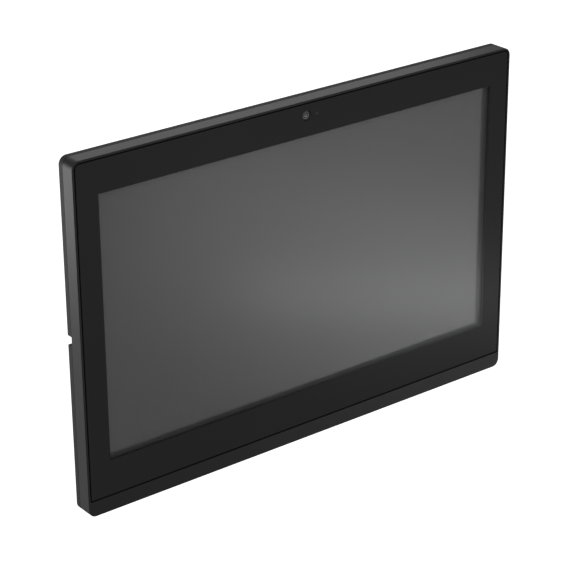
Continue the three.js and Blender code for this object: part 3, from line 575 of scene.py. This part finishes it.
cameraParts = {"nose": 2.86 * mm, "noseReach": 0.8 * mm, "bore": 2.15 * mm, "boreDepth": 1.0 * mm,
               "chamfer": 0.18 * mm, "dome": 0.55 * mm, "lensRim": 2.1 * mm, "recess": 0.1 * mm,
               "clear": 0.05 * mm, "flats": 48}


def barrelRings():
    low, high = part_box("camera_barrel")
    outer = (high.x - low.x) / 2
    nose, bore, chamfer = cameraParts["nose"], cameraParts["bore"], cameraParts["chamfer"]
    front = low.y - cameraParts["noseReach"]
    floor = front + cameraParts["boreDepth"]
    return [(outer - chamfer, high.y), (outer, high.y - chamfer), (outer, low.y + chamfer),
            (outer - chamfer, low.y), (nose, low.y), (nose, front + chamfer), (nose - chamfer, front),
            (bore + 2 * chamfer, front), (bore, front + 2 * chamfer), (bore, floor)]


def lensRings():
    # a spherical cap over a short rim that stands in the barrel's bore
    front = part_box("camera_barrel")[0].y - cameraParts["noseReach"]
    floor = front + cameraParts["boreDepth"]
    rim, dome = cameraParts["lensRim"], cameraParts["dome"]
    base = front + dome + cameraParts["recess"]
    turns = [math.radians(step) for step in range(0, 90, 10)]
    cap = [(rim * math.cos(turn), base - dome * math.sin(turn)) for turn in turns]
    return [(rim, floor - cameraParts["clear"]), *cap, (0.05 * rim, base - dome)]


cameraAxis = (0, 0, cameraHeight)
work = turnedShell(cameraAxis, "Y", barrelRings(), cameraParts["flats"], [0, 0, 0, 0, 0, 1, 1, 1, 1, 0])
finishPiece("cameraBarrel", meshFrom(work, "cameraBarrel"), ["mouldedBlack", "lensRing"], "display",
            ["camera_barrel"])
work = turnedShell(cameraAxis, "Y", lensRings(), cameraParts["flats"])
finishPiece("cameraLens", meshFrom(work, "cameraLens"), ["lensGlass"], "display",
            ["camera_lens"])


# unlit panel: a glass slab, its polariser, the picture area and the black border round it, that border
# lightened with painted light

panelParts = {"pictureWidth": 344.16 * mm, "pictureHeight": 193.59 * mm, "filmInset": 0.9 * mm,
              "filmThickness": 0.2 * mm}


def panelLoops():
    low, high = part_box("lcd_cell")
    middle = (sensorLow.z + sensorHigh.z) / 2
    inset, thick = panelParts["filmInset"], panelParts["filmThickness"]
    halfWidth, halfHeight = panelParts["pictureWidth"] / 2, panelParts["pictureHeight"] / 2
    film = (low.x + inset, high.x - inset, low.z + inset, high.z - inset)
    return [rectangle(low.x, high.x, low.z, high.z, high.y),
            rectangle(low.x, high.x, low.z, high.z, low.y + thick),
            rectangle(*film, low.y + thick),
            rectangle(*film, low.y),
            rectangle(-halfWidth, halfWidth, middle - halfHeight, middle + halfHeight, low.y)]


# the polariser's ring round the picture area takes the black border lightened with painted light
work = nestedShell(panelLoops(), [2, 2, 2, 1, 0])
finishPiece("panelGlass", meshFrom(work, "panelGlass"), ["panelFace", "panelBorder", "panelEdge"],
            "display", ["lcd_cell"])


# rear cover: a broad radius round the housing, a smaller one round the slab, and softened mouldings

coverEdges = {"housingRim": 2.2 * mm, "housingSegments": 5, "slabRim": 1.0 * mm, "slabSegments": 4,
              "edge": 0.2 * mm, "edgeSegments": 2, "housingDepth": 17 * mm}
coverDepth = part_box("rear_cover")[1].y
slabDepth = coverDepth - coverEdges["housingDepth"]

work = weldedCopy("rear_cover")
roundEdges(work, coverEdges["housingRim"], coverEdges["housingSegments"], rimAt(coverDepth, 1))
roundEdges(work, coverEdges["slabRim"], coverEdges["slabSegments"], rimAt(slabDepth, 1))
roundEdges(work, coverEdges["edge"], coverEdges["edgeSegments"], anyEdge)
finishPiece("rearHousing", meshFrom(work, "rearHousing"), ["mouldedBlack"], "display",
            ["rear_cover"])


# side keys

keyEdges = {"edge": 0.35 * mm, "segments": 3}
for node, body in [("power_button", "power_key"), ("volume_up_button", "volume_up_key"),
                   ("volume_down_button", "volume_down_key")]:
    work = weldedCopy(node)
    roundEdges(work, keyEdges["edge"], keyEdges["segments"], anyEdge)
    name = node.replace("_button", "Key")
    finishPiece(name, meshFrom(work, name), ["frameSatin"], body, [node])


# wall bracket

bracketEdges = {"edge": 0.3 * mm, "segments": 3}
work = weldedCopy("wall_bracket")
roundEdges(work, bracketEdges["edge"], bracketEdges["segments"], anyEdge)
finishPiece("wallPlate", meshFrom(work, "wallPlate"), ["powderCoat"], "wall_bracket",
            ["wall_bracket"])

# screws: domed heads with a hexagon socket, and a threaded shank

screwParts = {"head": 2.6 * mm, "shank": 1.2 * mm, "root": 0.95 * mm, "pitch": 0.8 * mm, "tip": 0.8 * mm,
              "socket": 1.15 * mm, "socketDepth": 0.8 * mm, "socketSlope": 0.08 * mm, "socketSides": 6,
              "flats": 36, "seed": 5, "coverHead": 1.3 * mm, "boardHead": 1.2 * mm}
# the head's outline, as shares of its radius and height
headShape = [(0.97, 1.0), (1.0, 0.9), (1.0, 0.45), (0.94, 0.22), (0.8, 0.07), (0.62, 0.0)]


def screwRings(length, headHeight):
    # depths run from the tip, at -length, to the top of the head, at 0
    head, shank, root, socket = (screwParts[part] for part in ("head", "shank", "root", "socket"))
    rings = [(0.3 * root, -length), (root, -length + screwParts["tip"])]
    depth = -length + screwParts["tip"]
    while depth + screwParts["pitch"] < -headHeight - screwParts["pitch"]:
        rings += [(shank, depth + screwParts["pitch"] / 2), (root, depth + screwParts["pitch"])]
        depth += screwParts["pitch"]
    rings += [(shank, -headHeight - screwParts["pitch"] / 2), (shank, -headHeight)]
    rings += [(wide * head, -deep * headHeight) for wide, deep in headShape]
    sides = screwParts["socketSides"]
    return rings + [(1.06 * socket, 0, sides), (socket, -screwParts["socketSlope"], sides),
                    (socket, -screwParts["socketDepth"], sides)]


def addScrews(name, nodes, headHeight, finishName):
    low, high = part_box(nodes[0])
    screw = turnedShell((0, 0, 0), "Y", screwRings(high.y - low.y, headHeight), screwParts["flats"])
    tops = [Vector((middleOf(node).x, high.y, middleOf(node).z)) for node in nodes]
    mesh = runTree("setOut", pointsMesh(tops), meshFrom(screw, "screwBlank"),
                   {"Seed": screwParts["seed"], "Finish": finishes[finishName]})
    finishPiece(name, mesh, [finishName], "display", nodes)


def nodesLike(start):
    return sorted(node for node in frame["nodes"] if node.startswith(start))


addScrews("coverScrews", nodesLike("cover_screw_"), screwParts["coverHead"], "blackScrew")
addScrews("boardScrews", nodesLike("board_screw_"), screwParts["boardHead"], "zincPlate")


# heat sink: a base with a row of tapered fins

fins = {"count": 7, "root": 1.4 * mm, "tip": 0.9 * mm, "round": 0.3 * mm, "base": 2 * mm, "sink": 0.1 * mm,
        "footEdge": 0.25 * mm}
low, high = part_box("heat_sink")
finReach = high.y - low.y - fins["base"] + fins["sink"]
section = [(-fins["root"] / 2, 0), (fins["root"] / 2, 0), (fins["tip"] / 2, finReach - fins["round"]),
           (fins["tip"] / 2 - fins["round"], finReach), (fins["round"] - fins["tip"] / 2, finReach),
           (-fins["tip"] / 2, finReach - fins["round"])]
finLoops = [[Vector((x, y, z)) for x, y in section] for z in (low.z, high.z)]
finBlank = meshFrom(nestedShell(finLoops, [0, 0]), "finBlank")
foot = meshFrom(roundedBox(low, (high.x, low.y + fins["base"], high.z), fins["footEdge"]), "heatSinkFoot")
finStep = (high.x - low.x - fins["root"]) / (fins["count"] - 1)
mesh = runTree("evenRow", foot, finBlank, {
    "Count": fins["count"], "Finish": finishes["aluminium"], "Step": (finStep, 0, 0),
    "Start": (low.x + fins["root"] / 2, low.y + fins["base"] - fins["sink"], 0)})
finishPiece("heatSink", mesh, ["aluminium"], "display", ["heat_sink"])


# contacts of the two sockets, and the lamps of the backlight

contacts = {"jackCount": 8, "jackPitch": 1.02 * mm, "jackWire": 0.36 * mm, "jackRoof": 2.4 * mm,
            "usbCount": 4, "usbPitch": 2.2 * mm, "usbWidth": 1.0 * mm, "usbLength": 8 * mm,
            "usbThickness": 0.12 * mm, "usbTongue": 2 * mm, "usbInset": 2 * mm, "usbEdge": 0.04 * mm}
# where each wire bends, in mm: which end it is measured from, how far in, and how far below the roof
wireBends = [("low", 7, 0), ("low", 9, 0.1), ("high", 7, 1.6), ("high", 4, 3.4), ("high", 3.4, 3.2)]
lamps = {"count": 36, "length": 3.0 * mm, "depth": 0.9 * mm, "height": 0.55 * mm, "inset": 4 * mm,
         "sink": 0.05 * mm, "edge": 0.1 * mm}


def addRow(name, blank, count, start, step, finishName):
    mesh = runTree("evenRow", emptyMesh(), blank, {"Count": count, "Start": start, "Step": step,
                                                   "Finish": finishes[finishName]})
    finishPiece(name, mesh, [finishName], "display", [])


def bentWire(path, width):
    # a square wire through points in X and Y, with its width along Z
    half = width / 2
    loops = [[Vector((x, y - half, -half)), Vector((x, y + half, -half)), Vector((x, y + half, half)),
              Vector((x, y - half, half))] for x, y in path]
    return nestedShell(loops, [0] * len(loops))


low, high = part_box("network_jack")
roof = high.y - contacts["jackRoof"]
wirePath = [(low.x + inset * mm if end == "low" else high.x - inset * mm, roof - drop * mm)
            for end, inset, drop in wireBends]
firstWire = middleOf("network_jack").z - contacts["jackPitch"] * (contacts["jackCount"] - 1) / 2
wireBlank = meshFrom(bentWire(wirePath, contacts["jackWire"]), "wireBlank")
addRow("jackContacts", wireBlank, contacts["jackCount"], (0, 0, firstWire), (0, 0, contacts["jackPitch"]),
       "goldContact")

low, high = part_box("usb_socket")
tongueFace = middleOf("usb_socket").y - contacts["usbTongue"] / 2
halfStrip = contacts["usbWidth"] / 2
stripEnd = high.x - contacts["usbInset"]
strip = roundedBox((stripEnd - contacts["usbLength"], tongueFace - contacts["usbThickness"], -halfStrip),
                   (stripEnd, tongueFace + contacts["usbThickness"] / 2, halfStrip), contacts["usbEdge"])
firstStrip = middleOf("usb_socket").z - contacts["usbPitch"] * (contacts["usbCount"] - 1) / 2
addRow("usbContacts", meshFrom(strip, "stripBlank"), contacts["usbCount"], (0, 0, firstStrip),
       (0, 0, contacts["usbPitch"]), "goldContact")

low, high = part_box("led_strip")
lampMiddle = (low.y + high.y) / 2
halfLamp, halfDepth = lamps["length"] / 2, lamps["depth"] / 2
lampBlank = roundedBox((-halfLamp, lampMiddle - halfDepth, high.z - lamps["sink"]),
                       (halfLamp, lampMiddle + halfDepth, high.z + lamps["height"]), lamps["edge"])
lampStep = (high.x - low.x - 2 * lamps["inset"]) / (lamps["count"] - 1)
addRow("backlightLamps", meshFrom(lampBlank, "lampBlank"), lamps["count"], (low.x + lamps["inset"], 0, 0),
       (lampStep, 0, 0), "phosphor")


# small parts on the two large boards, clear of what already stands there

boardParts = {
    "main_board": [(-144, -98, -50, 2), (-90, -70, -16, 36), (-144, -96, 56, 77)],
    "power_board": [(78, 92, -26, 66), (98, 122, -52, -4), (98, 122, 36, 74)],
}
partBlanks = {
    "Chips": {"size": (5.0, 1.1, 4.0), "round": 0.15, "spacing": 13, "seed": 3, "finish": "chipPlastic"},
    "Capacitors": {"size": (2.0, 0.9, 1.25), "round": 0.1, "spacing": 6.2, "seed": 8, "finish": "ceramic"},
}


def addBoardParts(board, patches):
    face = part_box(board)[1].y
    inMetres = [[side * mm for side in patch] for patch in patches]
    for kind, part in partBlanks.items():
        width, height, length = (side * mm for side in part["size"])
        box = roundedBox((-width / 2, 0, -length / 2), (width / 2, height, length / 2), part["round"] * mm)
        mesh = runTree("scatter", patchMesh(inMetres, face), meshFrom(box, "partBlank"), {
            "Spacing": part["spacing"] * mm, "Seed": part["seed"], "Finish": finishes[part["finish"]]})
        finishPiece(plainName(board) + kind, mesh, [part["finish"]], "display", [])


for board, patches in boardParts.items():
    addBoardParts(board, patches)


# capacitors: a sleeved can with a crimp near its foot and a scored top

canParts = {"crimp": 0.35 * mm, "crimpAt": 1.8 * mm, "foot": 0.3 * mm, "lip": 0.6 * mm,
            "topInset": 0.9 * mm, "topStep": 0.15 * mm, "topSink": 0.25 * mm, "flats": 40}


def canRings(low, high):
    radius = (high.x - low.x) / 2
    foot, waist, crimp = canParts["foot"], low.y + canParts["crimpAt"], canParts["crimp"]
    lip, inset = canParts["lip"], canParts["topInset"]
    return [(radius - foot, low.y), (radius, low.y + foot), (radius, waist - crimp),
            (radius - crimp, waist), (radius, waist + crimp), (radius, high.y - lip),
            (radius - 0.3 * lip, high.y - 0.3 * lip), (radius - lip, high.y),
            (radius - inset, high.y), (radius - inset - canParts["topStep"], high.y - canParts["topSink"])]


for node in nodesLike("capacitor_"):
    low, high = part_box(node)
    axis = (middleOf(node).x, 0, middleOf(node).z)
    work = turnedShell(axis, "Y", canRings(low, high), canParts["flats"], [0, 0, 0, 0, 0, 0, 0, 0, 1, 1])
    name = plainName(node)
    finishPiece(name, meshFrom(work, name), ["sleeveVinyl", "aluminium"], "display",
                [node])


# transformer: a ferrite core round a taped winding

coreParts = {"band": 13 * mm, "post": 3.4 * mm, "clear": 0.3 * mm, "edge": 0.4 * mm, "edgeSegments": 3,
             "tapeEdge": 1.6 * mm, "tapeSegments": 4}


def ringAlongZ(outer, inner, bottom, top):
    # a square tube along Z; both outlines are left, right, near and far
    def loop(sides, height):
        left, right, near, far = sides
        return [Vector((left, near, height)), Vector((right, near, height)), Vector((right, far, height)),
                Vector((left, far, height))]
    work = bmesh.new()
    rows = [[work.verts.new(point) for point in loop(sides, height)]
            for sides, height in ((outer, bottom), (outer, top), (inner, top), (inner, bottom))]
    for near, far in zip(rows, rows[1:] + rows[:1]):
        for at in range(4):
            nextAt = (at + 1) % 4
            work.faces.new((near[at], near[nextAt], far[nextAt], far[at]))
    bmesh.ops.recalc_face_normals(work, faces=work.faces)
    return work


low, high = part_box("transformer")
middle = middleOf("transformer")
post, clear = coreParts["post"], coreParts["clear"]
inner = (low.x + post, high.x - post, low.y + post / 2, high.y - post / 2)
work = ringAlongZ((low.x, high.x, low.y, high.y), inner, middle.z - coreParts["band"] / 2,
                  middle.z + coreParts["band"] / 2)
roundEdges(work, coreParts["edge"], coreParts["edgeSegments"], anyEdge)
finishPiece("transformerCore", meshFrom(work, "transformerCore"), ["ferrite"], "display",
            ["transformer"])
work = roundedBox((inner[0] + clear, inner[2] + clear, low.z), (inner[1] - clear, inner[3] - clear, high.z),
                  coreParts["tapeEdge"], coreParts["tapeSegments"])
finishPiece("transformerWinding", meshFrom(work, "transformerWinding"), ["amberFilm"], "display",
            [])


# speaker cones: a rolled surround, a paper cone and a dust cap, facing down

coneParts = {"surround": 1.3 * mm, "cap": 1.5 * mm, "capGap": 0.1 * mm, "dish": 0.9 * mm, "flats": 40}
# outlines of the surround and of the dust cap, each as a share of its width and a height in mm
rollShape = [(0.0, 0.35), (0.3, 0.08), (0.6, 0.0), (0.9, 0.12), (1.0, 0.4)]
capShape = [(0.85, 0.6), (0.5, 0.42), (0.08, 0.36)]


def coneRings(low, high):
    radius, rim, cap = (high.x - low.x) / 2, coneParts["surround"], coneParts["cap"]
    mouth, dish = low.z, coneParts["dish"]
    roll = [(radius - inward * rim, mouth + rise * mm) for inward, rise in rollShape]
    dome = [(outward * cap, mouth + rise * mm) for outward, rise in capShape]
    return [(radius, high.z), *roll, (cap + coneParts["capGap"], mouth + dish), (cap, mouth + dish), *dome]


for node in nodesLike("speaker_cone_"):
    low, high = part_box(node)
    axis = (middleOf(node).x, middleOf(node).y, 0)
    work = turnedShell(axis, "Z", coneRings(low, high), coneParts["flats"], [0] * 6 + [1] * 5)
    name = plainName(node)
    finishPiece(name, meshFrom(work, name), ["rubber", "paperCone"], "display", [node])


# every other piece keeps its shape and gets softened edges and a finish of its own

slotFinish = {"black_print": "printInk", "touch_film": "touchFilm", "dark_metal": "blackMetal",
              "white_sheet": "whiteSheet", "plated_steel": "zincPlate", "black_screws": "blackScrew",
              "bare_aluminium": "aluminium", "circuit_board": "solderMask", "chip_plastic": "chipPlastic",
              "soft_rubber": "rubber", "ribbon_film": "amberFilm", "cover_plastic": "mouldedBlack",
              "cover_glass": "chipPlastic", "frame_satin": "frameSatin", "bracket_coat": "powderCoat",
              "panel_face": "panelFace"}
slotOfNode = {part["node"]: part["material_slot"] for part in frame["record"]["subparts"]}
softened = {  # width of the rounded edge, in mm
    "print_border": 0.06, "touch_sensor": 0.06, "glass_gasket": 0.15, "dust_seal": 0.12, "lcd_bezel": 0.2,
    "diffuser_sheet": 0.08, "light_guide": 0.15, "reflector_sheet": 0.06, "led_strip": 0.1,
    "backlight_tray": 0.2, "chassis_plate": 0.25, "main_board": 0.15, "power_board": 0.15, "key_board": 0.15,
    "touch_board": 0.12, "lcd_driver_board": 0.12, "camera_board": 0.12, "antenna_left": 0.1,
    "antenna_right": 0.1, "microphone_left": 0.15, "microphone_right": 0.15, "processor": 0.25,
    "wireless_module": 0.3, "network_jack": 0.35, "usb_socket": 0.15, "power_terminal": 0.35,
    "hook_plate": 0.3, "speaker_box_left": 1.2, "speaker_box_right": 1.2, "light_sensor": 0.25,
    "lcd_ribbon": 0.08, "touch_ribbon": 0.08,
}
ownFinish = {"touch_ribbon": "printInk"}  # its end shows under the panel's edge
softSegments = 2
for node, width in softened.items():
    work = weldedCopy(node)
    roundEdges(work, width * mm, softSegments, anyEdge)
    name, slot = plainName(node), slotOfNode[node]
    finishName = ownFinish.get(node, slotFinish[slot])
    finishPiece(name, meshFrom(work, name), [finishName], "display", [node])
for node, thing in frame["nodes"].items():
    thing.data.materials.clear()
    thing.data.materials.append(finishes[slotFinish[slotOfNode[node]]])
print("smart display: pieces made")


# studio: a pale floor, an even white surround and soft boxes

studio = {"floorDrop": 1.9, "floorHalf": 12.0, "floorGlow": 1.0, "surround": 0.3, "backdrop": 1.0}
softBoxes = {
    "sideBox": {"at": (-0.49, 0.46, -0.01), "aim": (-0.19, -0.02, 0.04), "size": (0.5, 0.36),
                "radiance": 3.6},
    "sideFill": {"at": (-0.47, 0.43, -0.36), "aim": (-0.19, -0.02, -0.08), "size": (0.5, 0.3),
                 "radiance": 0.6},
    "topBox": {"at": (0.30, 0.80, 0.47), "aim": (0, 0, 0.13), "size": (1.0, 0.3), "radiance": 1.5},
    "screenBox": {"at": (0.70, -0.715, -0.455), "aim": (0.10, -0.034, -0.046), "size": (0.42, 0.06),
                  "radiance": 6.8},
    "screenFill": {"at": (0.62, -0.74, -0.31), "aim": (0.05, -0.034, 0), "size": (0.5, 0.3),
                   "radiance": 0.5},
    "frontBox": {"at": (-0.9, -1.5, 1.4), "aim": (0, 0, 0), "size": (1.2, 1.2), "radiance": 2.8},
    "rearBox": {"at": (0.9, 1.7, -0.55), "aim": (0, 0, 0), "size": (1.3, 0.7), "radiance": 4.0},
}


def aimed(location, forward, roll=0.0):
    # the matrix of something at a place that looks along forward
    forward = Vector(forward).normalized()
    turn = forward.to_track_quat("-Z", "Y").to_matrix().to_4x4()
    return Matrix.Translation(location) @ turn @ Matrix.Rotation(roll, 4, "Z")


def addSoftBox(name, box):
    lamp = bpy.data.lights.new(name, "AREA")
    lamp.shape = "RECTANGLE"
    lamp.size, lamp.size_y = box["size"]
    lamp.energy = box["radiance"] * math.pi * lamp.size * lamp.size_y
    holder = bpy.data.objects.new(name, lamp)
    bpy.context.scene.collection.objects.link(holder)
    place = Vector(box["at"])
    holder.matrix_world = aimed(place, Vector(box["aim"]) - place)
    holder.visible_camera = False


for boxName, box in softBoxes.items():
    addSoftBox(boxName, box)


def addFloor():
    half = studio["floorHalf"]
    mesh = bpy.data.meshes.new("floor")
    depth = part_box("front_frame")[0].z - studio["floorDrop"]
    corners = [(-half, -half, depth), (half, -half, depth), (half, half, depth), (-half, half, depth)]
    mesh.from_pydata(corners, [], [(0, 1, 2, 3)])
    finish, tree, shader = newFinish("paleFloor", (0.8, 0.8, 0.8), 0.9)
    shader.inputs["Emission Color"].default_value = (1, 1, 1, 1)
    shader.inputs["Emission Strength"].default_value = studio["floorGlow"]
    mesh.materials.append(finish)
    floor = bpy.data.objects.new("floor", mesh)
    bpy.context.scene.collection.objects.link(floor)
    floor.visible_diffuse = False
    floor.visible_glossy = False


def addSurround():
    world = bpy.data.worlds.new("surround")
    world.use_nodes = True
    bpy.context.scene.world = world
    tree = world.node_tree
    dim = tree.nodes["Background"]
    dim.inputs["Color"].default_value = (1, 1, 1, 1)
    dim.inputs["Strength"].default_value = studio["surround"]
    white = tree.nodes.new("ShaderNodeBackground")
    white.inputs["Strength"].default_value = studio["backdrop"]
    white.inputs["Color"].default_value = (1, 1, 1, 1)
    rays = tree.nodes.new("ShaderNodeLightPath")
    mix = tree.nodes.new("ShaderNodeMixShader")
    tree.links.new(rays.outputs["Is Camera Ray"], mix.inputs["Fac"])
    tree.links.new(dim.outputs["Background"], mix.inputs[1])
    tree.links.new(white.outputs["Background"], mix.inputs[2])
    tree.links.new(mix.outputs["Shader"], tree.nodes["World Output"].inputs["Surface"])


addFloor()
addSurround()
bpy.context.scene.view_settings.view_transform = "Standard"

viewPoint = {"place": (-0.8647, -1.1269, 0.6148), "forward": (0.55799, 0.72278, -0.40772), "roll": 0.456,
             "lens": 134.03, "sensor": 36.0}
eye = bpy.data.cameras.new("eye")
eye.lens = viewPoint["lens"]
eye.sensor_width = viewPoint["sensor"]
eye.clip_start = 0.05
eye.clip_end = 60
camera = bpy.data.objects.new("eye", eye)
bpy.context.scene.collection.objects.link(camera)
camera.matrix_world = aimed(viewPoint["place"], viewPoint["forward"], math.radians(-viewPoint["roll"]))
bpy.context.scene.camera = camera
print("smart display: studio and camera ready")
